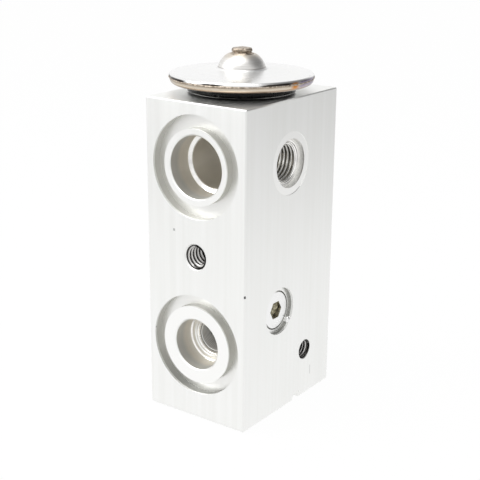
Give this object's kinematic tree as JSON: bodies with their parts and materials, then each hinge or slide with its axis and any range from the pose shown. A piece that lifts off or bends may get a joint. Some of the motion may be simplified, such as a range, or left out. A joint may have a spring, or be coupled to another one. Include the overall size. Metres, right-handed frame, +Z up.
{
  "type": "thermostatic expansion valve",
  "caption": "Block-type expansion valve with a domed diaphragm head, suction and liquid ports, a sensor port and a superheat screw below.",
  "frame": {"origin": "middle of the block's bottom face", "axes": "+Z up along the valve's axis, -Y out of the pipe side, +Y out of the evaporator side, +X out of the sensor side"},
  "size_m": [0.035, 0.039, 0.0907],
  "materials": {
    "block_aluminium": "satin, fine upright die lines, turned port faces",
    "bright_stainless": "polished, straw heat tint at the welded rim",
    "plain_steel": "turned or drawn, bare",
    "bright_plug": "faced bright",
    "rod_aluminium": "turned",
    "screw_brass": "turned",
    "black_rubber": "smooth, slightly oily"
  },
  "bodies": {
    "valve_block": {"valve_body": "block_aluminium", "valve_seat": "plain_steel", "rod_seal": "black_rubber", "rod_seal_retainer": "plain_steel", "diaphragm": "bright_stainless", "head_lower_cover": "bright_stainless", "head_upper_cover": "bright_stainless", "charge_plug": "plain_steel", "head_seal": "black_rubber", "side_plug": "bright_plug", "side_plug_seal": "black_rubber"},
    "valve_stack": {"diaphragm_pad": "rod_aluminium", "sensing_rod": "rod_aluminium", "valve_pin": "plain_steel", "valve_ball": "plain_steel", "ball_carrier": "plain_steel", "damper_spring": "plain_steel"},
    "spring_and_seal": {"screw_seal": "black_rubber", "superheat_spring": "plain_steel"},
    "screw": {"adjusting_screw": "screw_brass"}
  },
  "joints": [
    {"name": "valve_stroke", "type": "slide", "parent": "valve_block", "child": "valve_stack", "axis": [0, 0, -1], "range_m": [0, 0.0006], "stiffness_N_per_m": 17000, "springref_m": -0.002, "deforming": ["superheat_spring"]},
    {"name": "screw_travel", "type": "slide", "parent": "valve_block", "child": "spring_and_seal", "axis": [0, 0, 1], "range_m": [-0.001, 0.001], "deforming": ["superheat_spring"]},
    {"name": "screw_turn", "type": "hinge", "parent": "spring_and_seal", "child": "screw", "pos_m": [0, -0.001, 0.007], "axis": [0, 0, 1], "range_deg": [-360, 360]}
  ],
  "couplings": [
    {"joint": "screw_travel", "follows": "screw_turn", "m_per_rad": 0.00015915}
  ]
}
